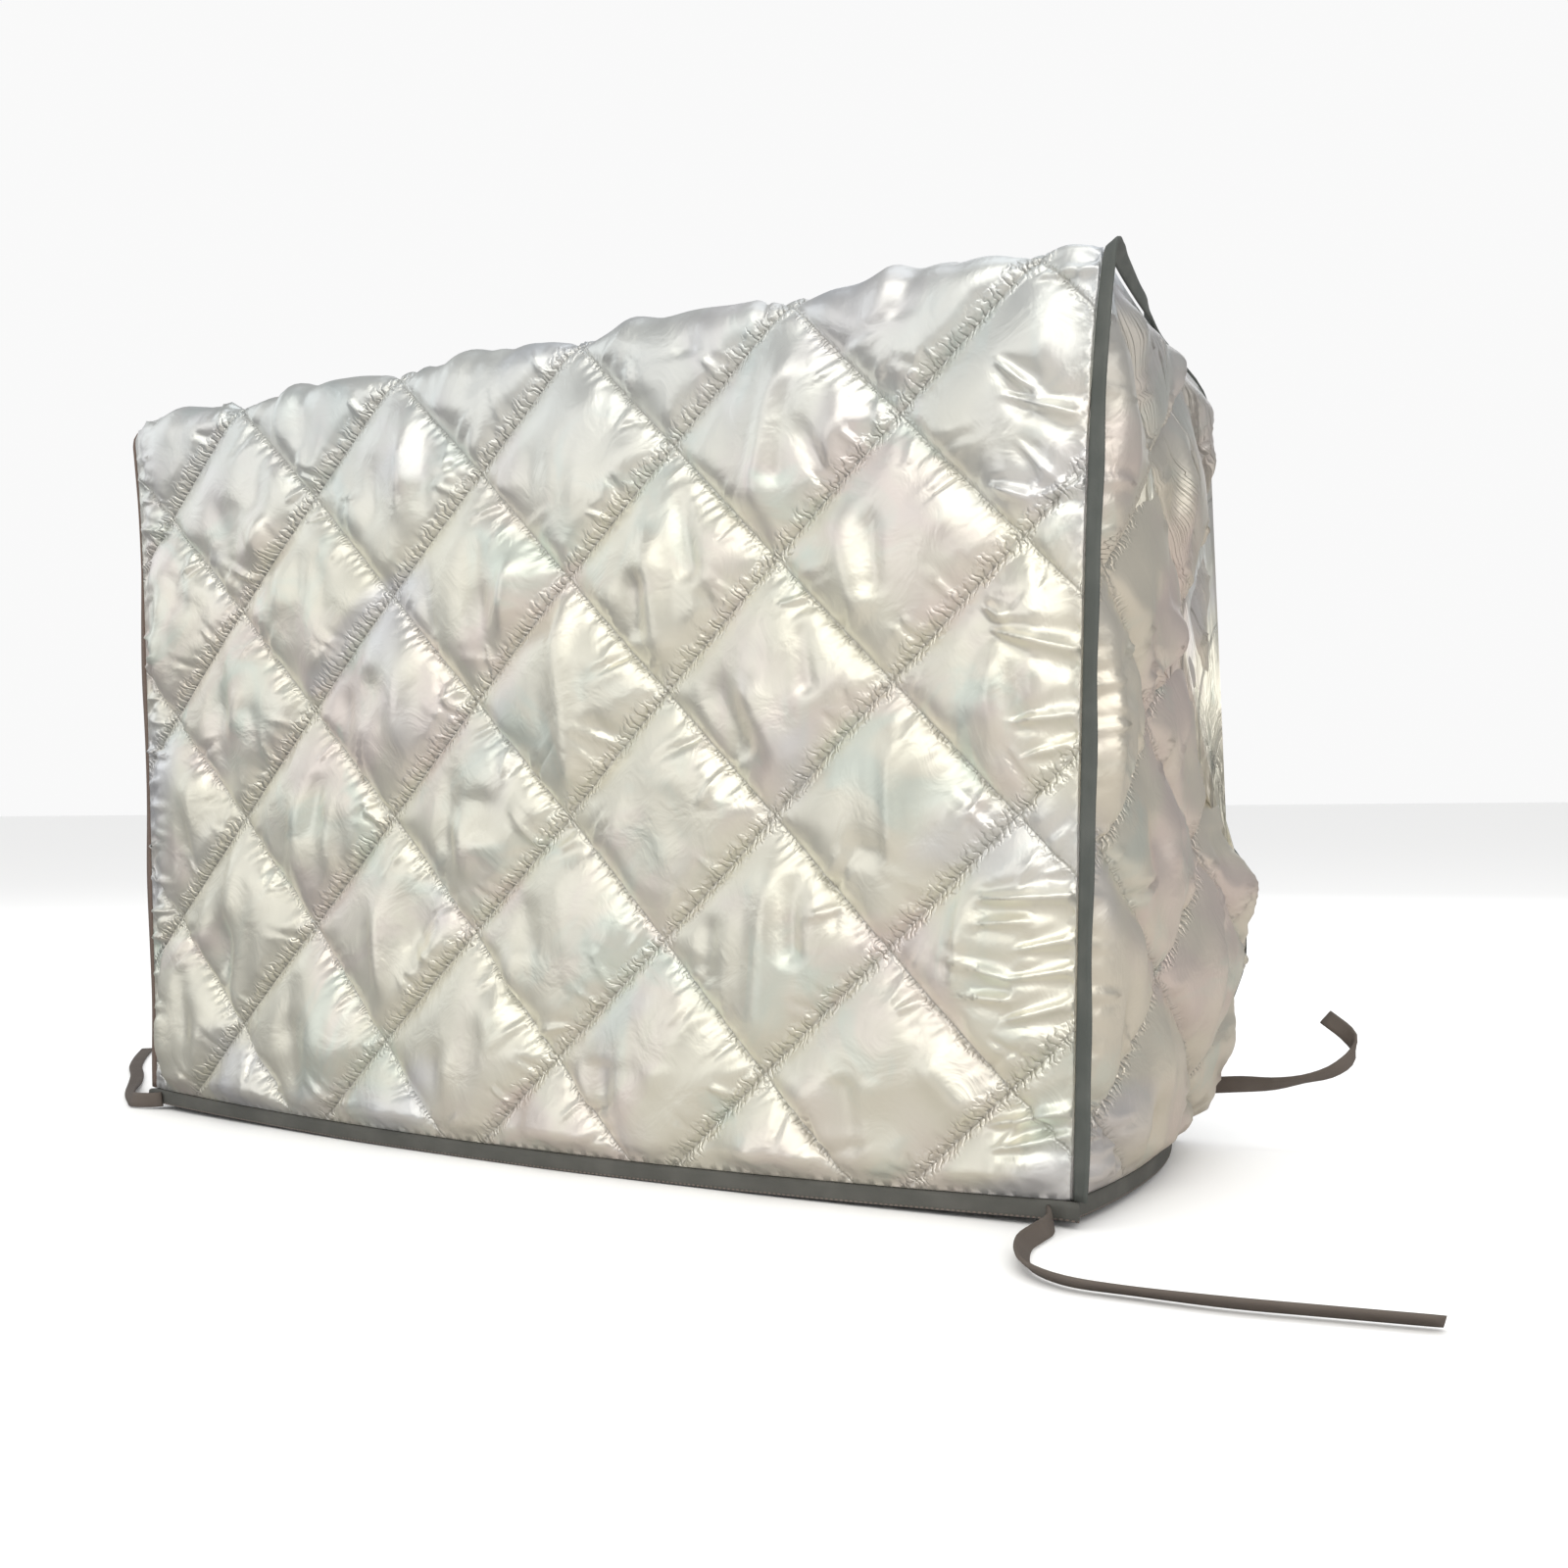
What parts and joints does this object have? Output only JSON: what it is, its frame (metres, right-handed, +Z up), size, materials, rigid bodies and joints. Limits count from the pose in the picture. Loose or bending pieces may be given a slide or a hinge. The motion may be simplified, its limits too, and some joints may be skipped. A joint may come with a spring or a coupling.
{
  "type": "air conditioner cover",
  "caption": "Quilted fabric cover for an outdoor air conditioner: a box open underneath, with bound seams, a bound hem and narrow ties at its lower corners.",
  "frame": {"origin": "middle of the cover's width and depth, just under its top, where the covered unit carries it", "axes": "+X to the right of the front, -Y out of the front, +Z up"},
  "size_m": [1.3112, 0.4574, 0.5477],
  "materials": {
    "silver_quilt": "satin silver coating",
    "dark_tape": "matt woven tape"
  },
  "bodies": {
    "root": {"main_panel": "silver_quilt", "side_panel_right": "silver_quilt", "side_panel_left": "silver_quilt", "seam_binding_right": "dark_tape", "seam_binding_left": "dark_tape", "hem_binding": "dark_tape", "tie_front_right": "dark_tape", "tie_front_left": "dark_tape", "tie_back_right": "dark_tape"}
  },
  "joints": []
}
